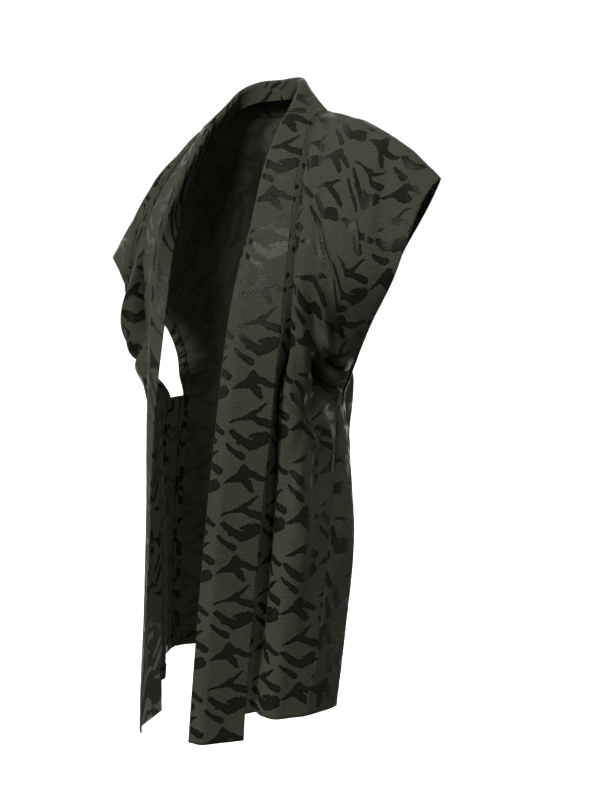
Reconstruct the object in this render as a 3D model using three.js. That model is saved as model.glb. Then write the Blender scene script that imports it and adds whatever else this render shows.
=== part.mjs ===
// Jinbaori: a sleeveless open coat, hung as it is worn. Millimetres, +Z up, front towards -Y,
// the wearer's left towards +X. The origin is the middle of the neck at shoulder level.
import * as THREE from 'three';

// ---------- driving dimensions ----------
const BODY_WALL = 1.8;          // single jacquard cloth with its turnings
const COLLAR_WALL = 3.2;        // collar band, doubled over its interlining
const COLLAR_START = 0.4;       // collar band's seam edge, in from the seam line
const BODY_START = 0.9;         // body's collar-side edge, out from the seam line
const SIDE_INSET = 0.6;         // body and gusset edges, each in from the side seam line
const SPINE_INSET = 0.25;       // each half of the back, in from the centre back
const CROSS_GAP = 0.3;          // between two lengths of collar band
const CROSS_CLEAR = 0.2;        // no other collar row is laid this near a cross seam
const BEND_MIN = 12;            // least run of band taken up by the soft fold of the collar
const BEND_RADIUS = 5.6;        // radius of that fold where the band is turned right over
const CROSS_SEAM = { left: 9, right: 8.6 };   // collar row at which the band is joined on
const CENTRE_ROW = 13;          // collar row at the centre back of the neck
const UNDERARM_ROW = 4;         // body row at the foot of the front armhole
const BACK_UNDERARM_ROW = 17;   // body row at the foot of the back armhole
const HEM_ROW = 21;             // body row at the back hem
const EDGE_FADE = 9;            // folds die out over this much cloth beside a seam
const FOLD_SWELL = 0.7;         // how soon a fold reaches its depth: under 1 is sooner
const TANGENT_STEP = 0.25;      // collar rows to either side that give the seam's run
const BEND_SLICES = 12;         // steps taken round the collar's fold between two points

const CLOTH = { color: 0x3d3f37, roughness: 0.75 };

// ---------- section tables ----------
// Collar band, from the bottom end up to the centre back of the neck. x y z: its seam with the
// body. lean: compass turn of the outer face from straight ahead, degrees. reach, rise: from the
// seam across and up to the crease. turn, fold: width turned in past the crease, and how far.
const COLLAR_COLUMNS = ['x', 'y', 'z', 'lean', 'reach', 'rise', 'turn', 'fold'];
const NAPE_ROWS = [
  [50, 55, 13, 55, 18, 53, 33, 165],
  [0, 62, 13, 90, 12, 54, 33, 165],
];
const LEFT_COLLAR = [
  [93, -162, -883, 52, 62, 0, 20, 38],
  [96, -162, -842, 51, 61, 0, 20, 38],
  [108, -161, -720, 48, 60, 0, 20, 38],
  [123, -159, -575, 45, 59, 0, 20, 38],
  [137, -154, -441, 41, 59, 0, 20, 40],
  [145, -141, -299, 35, 58, 0, 22, 46],
  [142, -116, -174, 28, 55, 2, 27, 68],
  [122, -75, -87, 27, 49, 4, 32, 100],
  [108, -32, -22, 33, 43, 4, 35, 128],
  [106, -12, 1, 36, 43, 4, 35, 150],
  [104, 12, 9, 30, 43, 24, 34, 155],
  [88, 36, 12, 36, 34, 44, 33, 160],
  ...NAPE_ROWS,
];
const RIGHT_COLLAR = [
  [84, -152, -892, 76, 62, 0, 20, 38],
  [83, -152, -842, 75, 61, 0, 20, 38],
  [86, -146, -740, 71, 60, 0, 20, 38],
  [93, -139, -620, 65, 60, 0, 20, 38],
  [108, -130, -490, 57, 59, 0, 20, 38],
  [133, -117, -350, 43, 58, 0, 22, 46],
  [156, -98, -190, 27, 56, 0, 25, 84],
  [152, -70, -108, 18, 52, 2, 30, 132],
  [112, -27, -22, 32, 43, 3, 34, 156],
  [107, -10, 0, 33, 43, 4, 34, 158],
  [104, 12, 8, 30, 43, 18, 34, 158],
  [88, 36, 12, 36, 34, 40, 33, 160],
  ...NAPE_ROWS,
];

// One half of the body, in one length from the front hem over the shoulder to the back hem.
// inner: collar row it starts from (past 13, row of the centre back). x y z: its outer end, on
// the side seam or the armhole. bowX bowY bowZ: how far the middle stands off a straight line.
const BODY_COLUMNS = ['inner', 'x', 'y', 'z', 'bowX', 'bowY', 'bowZ'];
const LEFT_BODY = [
  [1, 167, -117, -842, 5, -8, 0],
  [2, 181, -101, -725, 7, -11, 0],
  [3, 182, -78, -580, 11, -15, 0],
  [4, 168, -46, -470, 13, -18, 0],
  [4.5, 157, -26, -408, 14, -20, -4],
  [5, 200, -54, -348, 12, -26, 2],
  [5.6, 246, -79, -288, 6, -28, 6],
  [6.3, 288, -90, -227, 4, -26, 12],
  [7.2, 305, -80, -170, 2, -20, 20],
  [8.2, 309, -50, -121, 0, -8, 27],
  [9, 320, -28, -95, 0, 0, 24],
  [10, 297, 0, -110, -4, 8, 20],
  [11.2, 266, 22, -140, -4, 17, 15],
  [13, 229, 32, -188, 2, 24, 12],
  [14, 203, 30, -240, 8, 28, 8],
  [15, 175, 20, -308, 14, 28, 4],
  [16, 157, 4, -372, 18, 29, 0],
  [17, 152, -6, -408, 20, 28, 0],
  [18, 170, -18, -478, 16, 26, 0],
  [19, 191, -32, -600, 12, 24, 0],
  [20, 188, -46, -728, 9, 25, 0],
  [21, 183, -61, -842, 7, 26, 0],
];
const RIGHT_BODY = [
  [1, 140, -95, -842, 4, -5, 0],
  [2, 150, -86, -740, 5, -7, 0],
  [3, 156, -74, -620, 7, -9, 0],
  [4, 158, -58, -490, 9, -12, 0],
  [4.5, 163, -42, -424, 11, -14, 0],
  [5, 190, -58, -380, 12, -18, 0],
  [5.5, 217, -74, -342, 8, -15, 2],
  [6, 213, -84, -300, 5, -8, 4],
  [6.7, 200, -95, -256, 3, -5, 8],
  [7.9, 221, -91, -222, 6, -8, 14],
  [9, 256, -72, -201, 2, 2, 16],
  [10, 254, -46, -224, 2, 8, 14],
  [11.2, 248, -18, -258, 2, 14, 17],
  [13, 238, 8, -296, 2, 20, 15],
  [14, 224, 22, -330, 6, 24, 11],
  [15, 206, 20, -364, 10, 26, 7],
  [16, 190, 8, -396, 16, 28, 2],
  [17, 165, -10, -424, 20, 30, 0],
  [18, 168, -14, -490, 18, 28, 0],
  [19, 172, -22, -610, 16, 26, 0],
  [20, 170, -32, -730, 14, 26, 0],
  [21, 165, -42, -842, 12, 26, 0],
];

// Centre back, from the collar down to the hem.
const SPINE_COLUMNS = ['y', 'z'];
const SPINE = [
  [62, 11.4],
  [80, -80],
  [97, -180],
  [107, -290],
  [110, -385],
  [107, -470],
  [100, -595],
  [89, -725],
  [78, -842],
];

// Large folds of one half. from, to: body rows. at, end: cloth from the inner edge to the fold's
// line at each of them. half: half width. depth: out of the coat, or into it when negative.
const FOLD_COLUMNS = ['from', 'to', 'at', 'end', 'half', 'depth'];
const LEFT_FOLDS = [
  [-1.0, 7.8, 13, 12, 10, -13],
  [-1.0, 4.6, 44, 42, 15, 5],
  [4.2, 7.6, 52, 34, 15, 8],
  [5.4, 9.4, 92, 20, 13, -6],
  [3.4, 6.2, 66, 104, 15, -13],
  [2.2, 4.2, 26, 62, 10, -4],
  [6.4, 9.2, 150, 128, 26, 5],
  [11.5, 23, 92, 104, 30, 7],
  [14.5, 23, 166, 168, 24, -7],
  [15.5, 23, 34, 40, 24, -5],
];
const RIGHT_FOLDS = [
  [-1.0, 6.2, 13, 13, 9, -9],
  [-1.0, 4.4, 44, 42, 14, 4],
  [4.8, 8.6, 44, 40, 16, 6],
  [3.6, 6.0, 62, 84, 14, -10],
  [6.2, 9.2, 84, 112, 15, -7],
  [11.2, 23, 108, 98, 28, 7],
  [14.0, 23, 176, 158, 24, -6],
  [15.0, 23, 42, 50, 22, -6],
];

// Mesh rows laid between one table row and the next, and columns across each piece.
const BODY_STEPS = [3, 3, 3, 2, 2, 2, 2, 2, 2, 2, 2, 3, 5, 3, 3, 3, 3, 2, 3, 3, 3];
const BODY_ACROSS = 16;
const COLLAR_ENDS = [0, 0.5];   // collar rows below the body's hem
const FLAT_ACROSS = 3;
const BEND_ACROSS = 4;
const TURN_ACROSS = 2;
const GUSSET_ACROSS = 3;
const GUSSET_BOW = 2;

// ---------- tables and curves ----------
// A table's columns at a fractional row, by a Catmull-Rom curve through its rows.
function sample(rows, columns, at) {
  const last = rows.length - 1;
  const t = Math.min(Math.max(at, 0), last);
  const k = Math.min(Math.floor(t), last - 1);
  const f = t - k;
  const picked = {};
  columns.forEach((column, c) => {
    const p1 = rows[k][c];
    const p2 = rows[k + 1][c];
    const p0 = k > 0 ? rows[k - 1][c] : 2 * p1 - p2;
    const p3 = k + 2 <= last ? rows[k + 2][c] : 2 * p2 - p1;
    const a = 2 * p1;
    const b = p2 - p0;
    const cc = 2 * p0 - 5 * p1 + 4 * p2 - p3;
    const d = -p0 + 3 * p1 - 3 * p2 + p3;
    picked[column] = 0.5 * (a + b * f + cc * f * f + d * f * f * f);
  });
  return picked;
}

function smooth(edge0, edge1, value) {
  const t = Math.min(Math.max((value - edge0) / (edge1 - edge0), 0), 1);
  return t * t * (3 - 2 * t);
}

// The seam line and the way the band runs off it, at one collar row.
function collarFrame(rows, at) {
  const row = sample(rows, COLLAR_COLUMNS, at);
  const lean = THREE.MathUtils.degToRad(row.lean);
  const seam = new THREE.Vector3(row.x, row.y, row.z);
  const across = new THREE.Vector3(-Math.cos(lean) * row.reach, -Math.sin(lean) * row.reach, row.rise);
  return { seam, across: across.clone().normalize(), flat: across.length(), turn: row.turn, fold: row.fold };
}

// ---------- shells ----------
// The square-out direction at every point of a grid.
function gridNormals(grid) {
  const rows = grid.length;
  const cols = grid[0].length;
  return grid.map((row, j) => row.map((point, i) => {
    const along = grid[Math.min(j + 1, rows - 1)][i].clone().sub(grid[Math.max(j - 1, 0)][i]);
    const across = row[Math.min(i + 1, cols - 1)].clone().sub(row[Math.max(i - 1, 0)]);
    return along.cross(across).normalize();
  }));
}

// A closed wall from a grid of mid-surface points; trim squares off the points of one edge.
function shell(grid, normals, wall, trim = () => {}) {
  const rows = grid.length;
  const cols = grid[0].length;
  const positions = [];
  [1, -1].forEach((side) => {
    for (let j = 0; j < rows; j++) {
      for (let i = 0; i < cols; i++) {
        const p = grid[j][i].clone().addScaledVector(normals[j][i], (side * wall) / 2);
        trim(p, j, i);
        positions.push(p.x, p.y, p.z);
      }
    }
  });
  const index = [];
  const top = (j, i) => j * cols + i;
  const under = (j, i) => rows * cols + j * cols + i;
  const quad = (a, b, c, d) => index.push(a, b, c, a, c, d);
  for (let j = 0; j < rows - 1; j++) {
    for (let i = 0; i < cols - 1; i++) {
      quad(top(j, i), top(j + 1, i), top(j + 1, i + 1), top(j, i + 1));
      quad(under(j, i), under(j, i + 1), under(j + 1, i + 1), under(j + 1, i));
    }
  }
  for (let j = 0; j < rows - 1; j++) {
    quad(top(j, 0), under(j, 0), under(j + 1, 0), top(j + 1, 0));
    quad(top(j, cols - 1), top(j + 1, cols - 1), under(j + 1, cols - 1), under(j, cols - 1));
  }
  for (let i = 0; i < cols - 1; i++) {
    quad(top(0, i), top(0, i + 1), under(0, i + 1), under(0, i));
    quad(top(rows - 1, i), under(rows - 1, i), under(rows - 1, i + 1), top(rows - 1, i + 1));
  }
  const geometry = new THREE.BufferGeometry();
  geometry.setAttribute('position', new THREE.Float32BufferAttribute(positions, 3));
  geometry.setIndex(index);
  geometry.computeVertexNormals();
  return geometry;
}

function mirrorGrid(grid) {
  return grid.map((row) => row.map((p) => new THREE.Vector3(-p.x, p.y, p.z)));
}

// ---------- collar band ----------
// One row of the band: flat from the seam, round the soft fold, then the part turned in.
function bandRow(rows, at, inward) {
  const { seam, across, flat, turn, fold } = collarFrame(rows, at);
  const turnAngle = THREE.MathUtils.degToRad(fold);
  const bend = Math.max(BEND_MIN, turnAngle * BEND_RADIUS);
  const bendStart = flat - bend / 2;
  const stops = [];
  for (let i = 0; i < FLAT_ACROSS; i++) stops.push(COLLAR_START + (bendStart - COLLAR_START) * (i / FLAT_ACROSS));
  for (let i = 0; i < BEND_ACROSS; i++) stops.push(bendStart + bend * (i / BEND_ACROSS));
  for (let i = 0; i <= TURN_ACROSS; i++) stops.push(bendStart + bend + (turn - bend / 2) * (i / TURN_ACROSS));
  const points = [];
  let s = 0;
  const here = seam.clone();
  stops.forEach((stop) => {
    const run = stop - s;
    for (let k = 0; k < BEND_SLICES; k++) {
      const mid = s + run * ((k + 0.5) / BEND_SLICES);
      const angle = turnAngle * Math.min(Math.max((mid - bendStart) / bend, 0), 1);
      here.addScaledVector(across, (Math.cos(angle) * run) / BEND_SLICES);
      here.addScaledVector(inward, (Math.sin(angle) * run) / BEND_SLICES);
    }
    s = stop;
    points.push(here.clone());
  });
  return points;
}

// The way into the coat, square to the seam line and to the band.
function inwardAt(rows, at) {
  const frame = collarFrame(rows, at);
  const before = collarFrame(rows, Math.max(at - TANGENT_STEP, 0)).seam;
  const after = collarFrame(rows, Math.min(at + TANGENT_STEP, CENTRE_ROW)).seam;
  if (at > CENTRE_ROW - TANGENT_STEP) after.set(-before.x, before.y, before.z);
  const along = after.sub(before);
  return frame.across.clone().cross(along).normalize();
}

// The collar rows of one half, each level with a row of the body; extra names one row more.
function bandStations(bodyRows, extra) {
  const level = bodyStations().filter((at) => at <= CENTRE_ROW);
  const rows = level.map((at) => Math.min(sample(bodyRows, BODY_COLUMNS, at).inner, CENTRE_ROW));
  const kept = rows.filter((row) => Math.abs(row - extra) > CROSS_CLEAR);
  return [...COLLAR_ENDS, ...kept, extra].sort((a, b) => a - b);
}

function bandGrid(rows, stations) {
  return stations.map((at) => bandRow(rows, at, inwardAt(rows, at)));
}

// One length of the band, its joined ends drawn back by half the gap.
function bandPiece(grid, normals, first, last) {
  const rows = grid.slice(first, last + 1).map((row) => row.map((p) => p.clone()));
  const pull = (row, from, to) => {
    const step = grid[to][0].clone().sub(grid[from][0]).normalize();
    row.forEach((p) => p.addScaledVector(step, CROSS_GAP / 2));
  };
  if (first > 0) pull(rows[0], first - 1, first + 1);
  if (last < grid.length - 1) pull(rows[rows.length - 1], last + 1, last - 1);
  return shell(rows, normals.slice(first, last + 1), COLLAR_WALL);
}

// ---------- body ----------
function innerPoint(collarRows, row) {
  if (row <= CENTRE_ROW) {
    const { seam, across } = collarFrame(collarRows, row);
    return seam.addScaledVector(across, -BODY_START);
  }
  const spine = sample(SPINE, SPINE_COLUMNS, row - CENTRE_ROW);
  return new THREE.Vector3(SPINE_INSET, spine.y, spine.z);
}

function bodyRow(collarRows, bodyRows, at) {
  const row = sample(bodyRows, BODY_COLUMNS, at);
  const inner = innerPoint(collarRows, at >= CENTRE_ROW ? at : Math.min(row.inner, CENTRE_ROW));
  const outer = new THREE.Vector3(row.x, row.y, row.z);
  if (at <= UNDERARM_ROW || at >= BACK_UNDERARM_ROW) {
    outer.addScaledVector(inner.clone().sub(outer).normalize(), SIDE_INSET);
  }
  const middle = inner.clone().add(outer).multiplyScalar(0.5);
  middle.add(new THREE.Vector3(row.bowX, row.bowY, row.bowZ).multiplyScalar(2));
  const points = [];
  for (let i = 0; i <= BODY_ACROSS; i++) {
    const t = i / BODY_ACROSS;
    const p = inner.clone().multiplyScalar((1 - t) * (1 - t));
    p.addScaledVector(middle, 2 * t * (1 - t));
    p.addScaledVector(outer, t * t);
    points.push(p);
  }
  return points;
}

function foldHeight(folds, at, distance, width) {
  let height = 0;
  folds.forEach((values) => {
    const fold = {};
    FOLD_COLUMNS.forEach((column, c) => { fold[column] = values[c]; });
    const along = (at - fold.from) / (fold.to - fold.from);
    if (along < 0 || along > 1) return;
    const line = fold.at + (fold.end - fold.at) * along;
    const ends = Math.sin(Math.PI * along) ** FOLD_SWELL;
    const off = (distance - line) / fold.half;
    height += fold.depth * ends * Math.exp(-off * off);
  });
  return height * smooth(0, EDGE_FADE, distance) * smooth(0, EDGE_FADE, width - distance);
}

function bodyStations() {
  const stations = [];
  BODY_STEPS.forEach((steps, k) => {
    for (let j = 0; j < steps; j++) stations.push(k + j / steps);
  });
  stations.push(HEM_ROW);
  return stations;
}

function bodyGrid(collarRows, bodyRows, folds) {
  const stations = bodyStations();
  const plain = stations.map((at) => bodyRow(collarRows, bodyRows, at));
  return plain.map((row, j) => {
    const lengths = [0];
    for (let i = 1; i < row.length; i++) lengths.push(lengths[i - 1] + row[i].distanceTo(row[i - 1]));
    const width = lengths[row.length - 1];
    const above = plain[Math.min(j + 1, plain.length - 1)];
    const below = plain[Math.max(j - 1, 0)];
    return row.map((p, i) => {
      const along = above[i].clone().sub(below[i]);
      const next = row[Math.min(i + 1, row.length - 1)].clone().sub(row[Math.max(i - 1, 0)]);
      const out = next.cross(along).normalize();
      return p.clone().addScaledVector(out, foldHeight(folds, stations[j], lengths[i], width));
    });
  });
}

// ---------- gusset ----------
function gussetGrid(bodyRows) {
  const grid = [];
  const stations = bodyStations().filter((at) => at <= UNDERARM_ROW);
  stations.forEach((at) => {
    const front = sample(bodyRows, BODY_COLUMNS, at);
    const back = sample(bodyRows, BODY_COLUMNS, HEM_ROW - at);
    const a = new THREE.Vector3(front.x, front.y, front.z);
    const b = new THREE.Vector3(back.x, back.y, back.z);
    const across = b.clone().sub(a).normalize();
    const out = new THREE.Vector3(across.y, -across.x, 0).normalize();
    a.addScaledVector(across, SIDE_INSET);
    b.addScaledVector(across, -SIDE_INSET);
    const row = [];
    for (let i = 0; i <= GUSSET_ACROSS; i++) {
      const t = i / GUSSET_ACROSS;
      row.push(a.clone().lerp(b, t).addScaledVector(out, GUSSET_BOW * 4 * t * (1 - t)));
    }
    grid.push(row);
  });
  return grid;
}

// ---------- assembly ----------
const part = new THREE.Group();
part.name = 'jinbaori';

function add(name, geometry) {
  const mesh = new THREE.Mesh(geometry, new THREE.MeshStandardMaterial(CLOTH));
  mesh.name = name;
  part.add(mesh);
}

const stations = bodyStations();
const squareSpine = (side) => (p, j, i) => {
  if (i === 0 && stations[j] >= CENTRE_ROW) p.x = side * SPINE_INSET;
};
const leftBody = bodyGrid(LEFT_COLLAR, LEFT_BODY, LEFT_FOLDS);
const rightBody = mirrorGrid(bodyGrid(RIGHT_COLLAR, RIGHT_BODY, RIGHT_FOLDS));
const leftGusset = gussetGrid(LEFT_BODY);
const rightGusset = mirrorGrid(gussetGrid(RIGHT_BODY));
add('body_left', shell(leftBody, gridNormals(leftBody), BODY_WALL, squareSpine(1)));
add('body_right', shell(rightBody, gridNormals(rightBody), BODY_WALL, squareSpine(-1)));
add('gusset_left', shell(leftGusset, gridNormals(leftGusset), BODY_WALL));
add('gusset_right', shell(rightGusset, gridNormals(rightGusset), BODY_WALL));

// The band runs unbroken from one bottom end round the neck to the other, then is parted.
const leftRows = bandStations(LEFT_BODY, CROSS_SEAM.left);
const rightRows = bandStations(RIGHT_BODY, CROSS_SEAM.right);
const rightBand = mirrorGrid(bandGrid(RIGHT_COLLAR, rightRows)).reverse().slice(1);
const band = [...bandGrid(LEFT_COLLAR, leftRows), ...rightBand];
const bandNormals = gridNormals(band);
const leftJoin = leftRows.indexOf(CROSS_SEAM.left);
const rightJoin = band.length - 1 - rightRows.indexOf(CROSS_SEAM.right);
add('collar_left', bandPiece(band, bandNormals, 0, leftJoin));
add('collar_back', bandPiece(band, bandNormals, leftJoin, rightJoin));
add('collar_right', bandPiece(band, bandNormals, rightJoin, band.length - 1));

export default part;
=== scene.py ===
"""Cloth of a jinbaori, worn open and hollow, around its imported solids.

Tables are in millimetres and the scene is in metres. +Z is up, the front looks to -Y, the wearer's
left is +X, and the origin is in the middle of the neck at shoulder level.
"""
import math

import bpy
import numpy as np
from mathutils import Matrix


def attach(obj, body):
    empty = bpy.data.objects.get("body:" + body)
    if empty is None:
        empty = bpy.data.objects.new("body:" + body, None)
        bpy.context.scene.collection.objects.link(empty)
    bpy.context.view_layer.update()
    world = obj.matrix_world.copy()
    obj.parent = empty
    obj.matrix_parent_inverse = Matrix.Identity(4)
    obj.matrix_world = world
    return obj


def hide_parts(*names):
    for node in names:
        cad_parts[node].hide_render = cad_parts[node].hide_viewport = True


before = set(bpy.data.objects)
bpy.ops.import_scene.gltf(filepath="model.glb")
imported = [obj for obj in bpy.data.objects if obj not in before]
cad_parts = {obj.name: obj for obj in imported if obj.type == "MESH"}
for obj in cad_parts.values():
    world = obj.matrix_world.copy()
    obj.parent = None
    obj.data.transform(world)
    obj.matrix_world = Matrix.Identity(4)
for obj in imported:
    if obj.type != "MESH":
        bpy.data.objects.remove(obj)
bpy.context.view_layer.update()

MM = 0.001

# ---------- sizes, in millimetres ----------
CLOTH_HALF = 0.42       # half the thickness of the single jacquard
BAND_HALF = 1.25        # half the thickness of the doubled collar band
EDGE_ROUND = 1.1        # radius of the band's rounded edges, in half thicknesses
EDGE_LEAST = 0.3        # share of the thickness that is left at such an edge
ROW_RUN = 6.0           # cloth between two mesh rows
ROW_SAMPLES = 9         # points that measure the cloth between two table rows
BODY_ACROSS = 120       # mesh columns across one half of the body
BAND_ACROSS = 44
BAND_EDGES = [0.005, 0.015, 0.985, 0.995]   # shares of its width with an extra column
SAME_ROW = 0.04         # collar rows closer than this to the cross seam give way to it
GUSSET_ACROSS = 14
BEND_MIN = 12.0         # least run of band taken up by the collar's soft fold
BEND_RADIUS = 5.6       # radius of that fold where the band is turned right over
CROSS_SEAM = {"left": 9.0, "right": 8.6}   # collar row at which the band is joined on
CENTRE_ROW = 13         # collar row at the centre back of the neck
RIDGE_ROW = 10          # body row along the top of the shoulder
UNDERARM_ROW = 4        # body row at the foot of the front armhole
BACK_UNDERARM_ROW = 17  # body row at the foot of the back armhole
HEM_ROW = 21            # body row at the back hem
EDGE_FADE = 9.0         # folds die out over this much cloth beside a seam
BAND_FADE = 2.0         # and over this much beside the collar band, which hides their ends
FOLD_SWELL = 0.7        # how soon a fold reaches its depth: under 1 is sooner
CREASE_SWELL = 0.8      # the same for a crease
CREASE_TIP = 0.04       # share of its length that a blunt end leaves off a crease
CREASE_POINTS = 25      # points along a crease's line
GUSSET_BOW = 2.0        # how far the middle of a gusset stands out
SEAM_REACH = 5.0        # body cloth that runs on inside the collar band
CENTRE_GAP = 0.06       # half the gap down the centre back
HEM_TURNING = 22.0      # cloth turned up inside a hem
ARMHOLE_TURNING = 15.0
ARMHOLE_STEP = 0.5      # body rows over which an armhole's turning narrows to a seam's
GUSSET_TURNING = 0.45   # most of a gusset's width that one turning takes
SEAM_TURNING = 8.0
# A turned edge, from its raw edge to the fold: share of the turning's width, cloth moved in.
TURNING = [(1.0, 1.35), (0.55, 1.4), (0.2, 1.3), (0.04, 1.15), (-0.35, 0.55)]
# The centre back's turning, raw edge and fold: cloth turned in, cloth moved in.
CENTRE_TURNING = [(SEAM_TURNING, 1.35), (-0.3, 0.6)]

WAVE_LEAN = 1.1         # radians that a wave of a ripple may lean either way
WAVE_POWER = (0.4, 1.0) # its least and greatest height
# Low ripples, which are highest in the middle of a piece. height, calm: cloth beside a seam over
# which they die out. count, spread: how many waves, and their least and greatest length.
BODY_RIPPLE = {"height": 0.55, "calm": 25, "count": 9, "spread": (26, 90)}
GUSSET_RIPPLE = {"height": 0.7, "calm": 12, "count": 6, "spread": (30, 80)}
# Puckers along a seam. inner, outer, reach: how far they run from it. slack: how much they change
# across the cloth, against along it.
BODY_PUCKER = {"height": 0.22, "inner": 7, "outer": 6, "slack": 0.3, "count": 7, "spread": (7, 16)}
BAND_PUCKER = {"height": 0.16, "reach": 5, "slack": 0.3, "count": 7, "spread": (8, 18)}
# Ripples of the collar band. crest: where across it they are highest. half: half their width.
BAND_RIPPLE = {"height": 0.5, "crest": 0.74, "half": 14, "slack": 0.2, "count": 7,
               "spread": (45, 150)}
SEEDS = {"body_left": 11, "body_right": 23, "gusset_left": 31, "gusset_right": 37, "collar": 47}

# ---------- section tables: the coat's own sizes ----------
# Collar band from the bottom end to the centre back. x y z: seam with the body. lean: compass
# turn of the outer face from straight ahead, degrees. reach, rise: from the seam across and up
# to the crease. turn, fold: width turned in past the crease, and how far, degrees.
NAPE_ROWS = [
    (50, 55, 13, 55, 18, 53, 33, 165),
    (0, 62, 13, 90, 12, 54, 33, 165),
]
LEFT_COLLAR = [
    (93, -162, -883, 52, 62, 0, 20, 38),
    (96, -162, -842, 51, 61, 0, 20, 38),
    (108, -161, -720, 48, 60, 0, 20, 38),
    (123, -159, -575, 45, 59, 0, 20, 38),
    (137, -154, -441, 41, 59, 0, 20, 40),
    (145, -141, -299, 35, 58, 0, 22, 46),
    (142, -116, -174, 28, 55, 2, 27, 68),
    (122, -75, -87, 27, 49, 4, 32, 100),
    (108, -32, -22, 33, 43, 4, 35, 128),
    (106, -12, 1, 36, 43, 4, 35, 150),
    (104, 12, 9, 30, 43, 24, 34, 155),
    (88, 36, 12, 36, 34, 44, 33, 160),
] + NAPE_ROWS
RIGHT_COLLAR = [
    (84, -152, -892, 76, 62, 0, 20, 38),
    (83, -152, -842, 75, 61, 0, 20, 38),
    (86, -146, -740, 71, 60, 0, 20, 38),
    (93, -139, -620, 65, 60, 0, 20, 38),
    (108, -130, -490, 57, 59, 0, 20, 38),
    (133, -117, -350, 43, 58, 0, 22, 46),
    (156, -98, -190, 27, 56, 0, 25, 84),
    (152, -70, -108, 18, 52, 2, 30, 132),
    (112, -27, -22, 32, 43, 3, 34, 156),
    (107, -10, 0, 33, 43, 4, 34, 158),
    (104, 12, 8, 30, 43, 18, 34, 158),
    (88, 36, 12, 36, 34, 40, 33, 160),
] + NAPE_ROWS

# One half of the body, from the front hem over the shoulder to the back hem. inner: collar row
# it starts from (past 13, row of the centre back). x y z: its outer end, on the side seam or the
# armhole. bowX bowY bowZ: how far the middle stands off a straight line.
LEFT_BODY = [
    (1, 167, -117, -842, 5, -8, 0),
    (2, 181, -101, -725, 7, -11, 0),
    (3, 182, -78, -580, 11, -15, 0),
    (4, 168, -46, -470, 13, -18, 0),
    (4.5, 157, -26, -408, 14, -20, -4),
    (5, 200, -54, -348, 12, -26, 2),
    (5.6, 246, -79, -288, 6, -28, 6),
    (6.3, 288, -90, -227, 4, -26, 12),
    (7.2, 305, -80, -170, 2, -20, 20),
    (8.2, 309, -50, -121, 0, -8, 27),
    (9, 320, -28, -95, 0, 0, 24),
    (10, 297, 0, -110, -4, 8, 20),
    (11.2, 266, 22, -140, -4, 17, 15),
    (13, 229, 32, -188, 2, 24, 12),
    (14, 203, 30, -240, 8, 28, 8),
    (15, 175, 20, -308, 14, 28, 4),
    (16, 157, 4, -372, 18, 29, 0),
    (17, 152, -6, -408, 20, 28, 0),
    (18, 170, -18, -478, 16, 26, 0),
    (19, 191, -32, -600, 12, 24, 0),
    (20, 188, -46, -728, 9, 25, 0),
    (21, 183, -61, -842, 7, 26, 0),
]
RIGHT_BODY = [
    (1, 140, -95, -842, 4, -5, 0),
    (2, 150, -86, -740, 5, -7, 0),
    (3, 156, -74, -620, 7, -9, 0),
    (4, 158, -58, -490, 9, -12, 0),
    (4.5, 163, -42, -424, 11, -14, 0),
    (5, 190, -58, -380, 12, -18, 0),
    (5.5, 217, -74, -342, 8, -15, 2),
    (6, 213, -84, -300, 5, -8, 4),
    (6.7, 200, -95, -256, 3, -5, 8),
    (7.9, 221, -91, -222, 6, -8, 14),
    (9, 256, -72, -201, 2, 2, 16),
    (10, 254, -46, -224, 2, 8, 14),
    (11.2, 248, -18, -258, 2, 14, 17),
    (13, 238, 8, -296, 2, 20, 15),
    (14, 224, 22, -330, 6, 24, 11),
    (15, 206, 20, -364, 10, 26, 7),
    (16, 190, 8, -396, 16, 28, 2),
    (17, 165, -10, -424, 20, 30, 0),
    (18, 168, -14, -490, 18, 28, 0),
    (19, 172, -22, -610, 16, 26, 0),
    (20, 170, -32, -730, 14, 26, 0),
    (21, 165, -42, -842, 12, 26, 0),
]
# Centre back from the collar down to the hem: y z.
SPINE = [
    (62, 11.4), (80, -80), (97, -180), (107, -290), (110, -385),
    (107, -470), (100, -595), (89, -725), (78, -842),
]

# Large folds. start, stop: body rows. near, far: cloth from the inner edge to the fold's line at
# each of them. half: half width. depth: out of the coat, or into it when negative.
LEFT_FOLDS = [
    (-0.6, 8.6, 11, 6, 7, -28),
    (7.6, 11.2, 6, 5, 5, -6),
    (-0.8, 4.6, 21, 17, 11, -7),
    (-1.0, 4.6, 46, 44, 14, 6),
    (4.2, 7.6, 52, 34, 15, 8),
    (5.4, 9.4, 92, 20, 13, -6),
    (3.4, 6.2, 66, 104, 15, -13),
    (2.2, 4.2, 26, 62, 10, -4),
    (6.4, 9.2, 150, 128, 26, 5),
    (11.5, 23, 92, 104, 30, 7),
    (14.5, 23, 166, 168, 24, -7),
    (15.5, 23, 34, 40, 24, -5),
]
RIGHT_FOLDS = [
    (-1.0, 6.6, 8, 8, 10, -14),
    (6.8, 11.0, 6, 5, 5, -5),
    (-1.0, 4.4, 44, 42, 14, 4),
    (4.2, 7.2, 58, 40, 15, 6),
    (3.6, 6.0, 62, 84, 14, -10),
    (6.2, 9.2, 84, 112, 15, -7),
    (11.2, 23, 108, 98, 28, 7),
    (14.0, 23, 176, 158, 24, -6),
    (15.0, 23, 42, 50, 22, -6),
]
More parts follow.
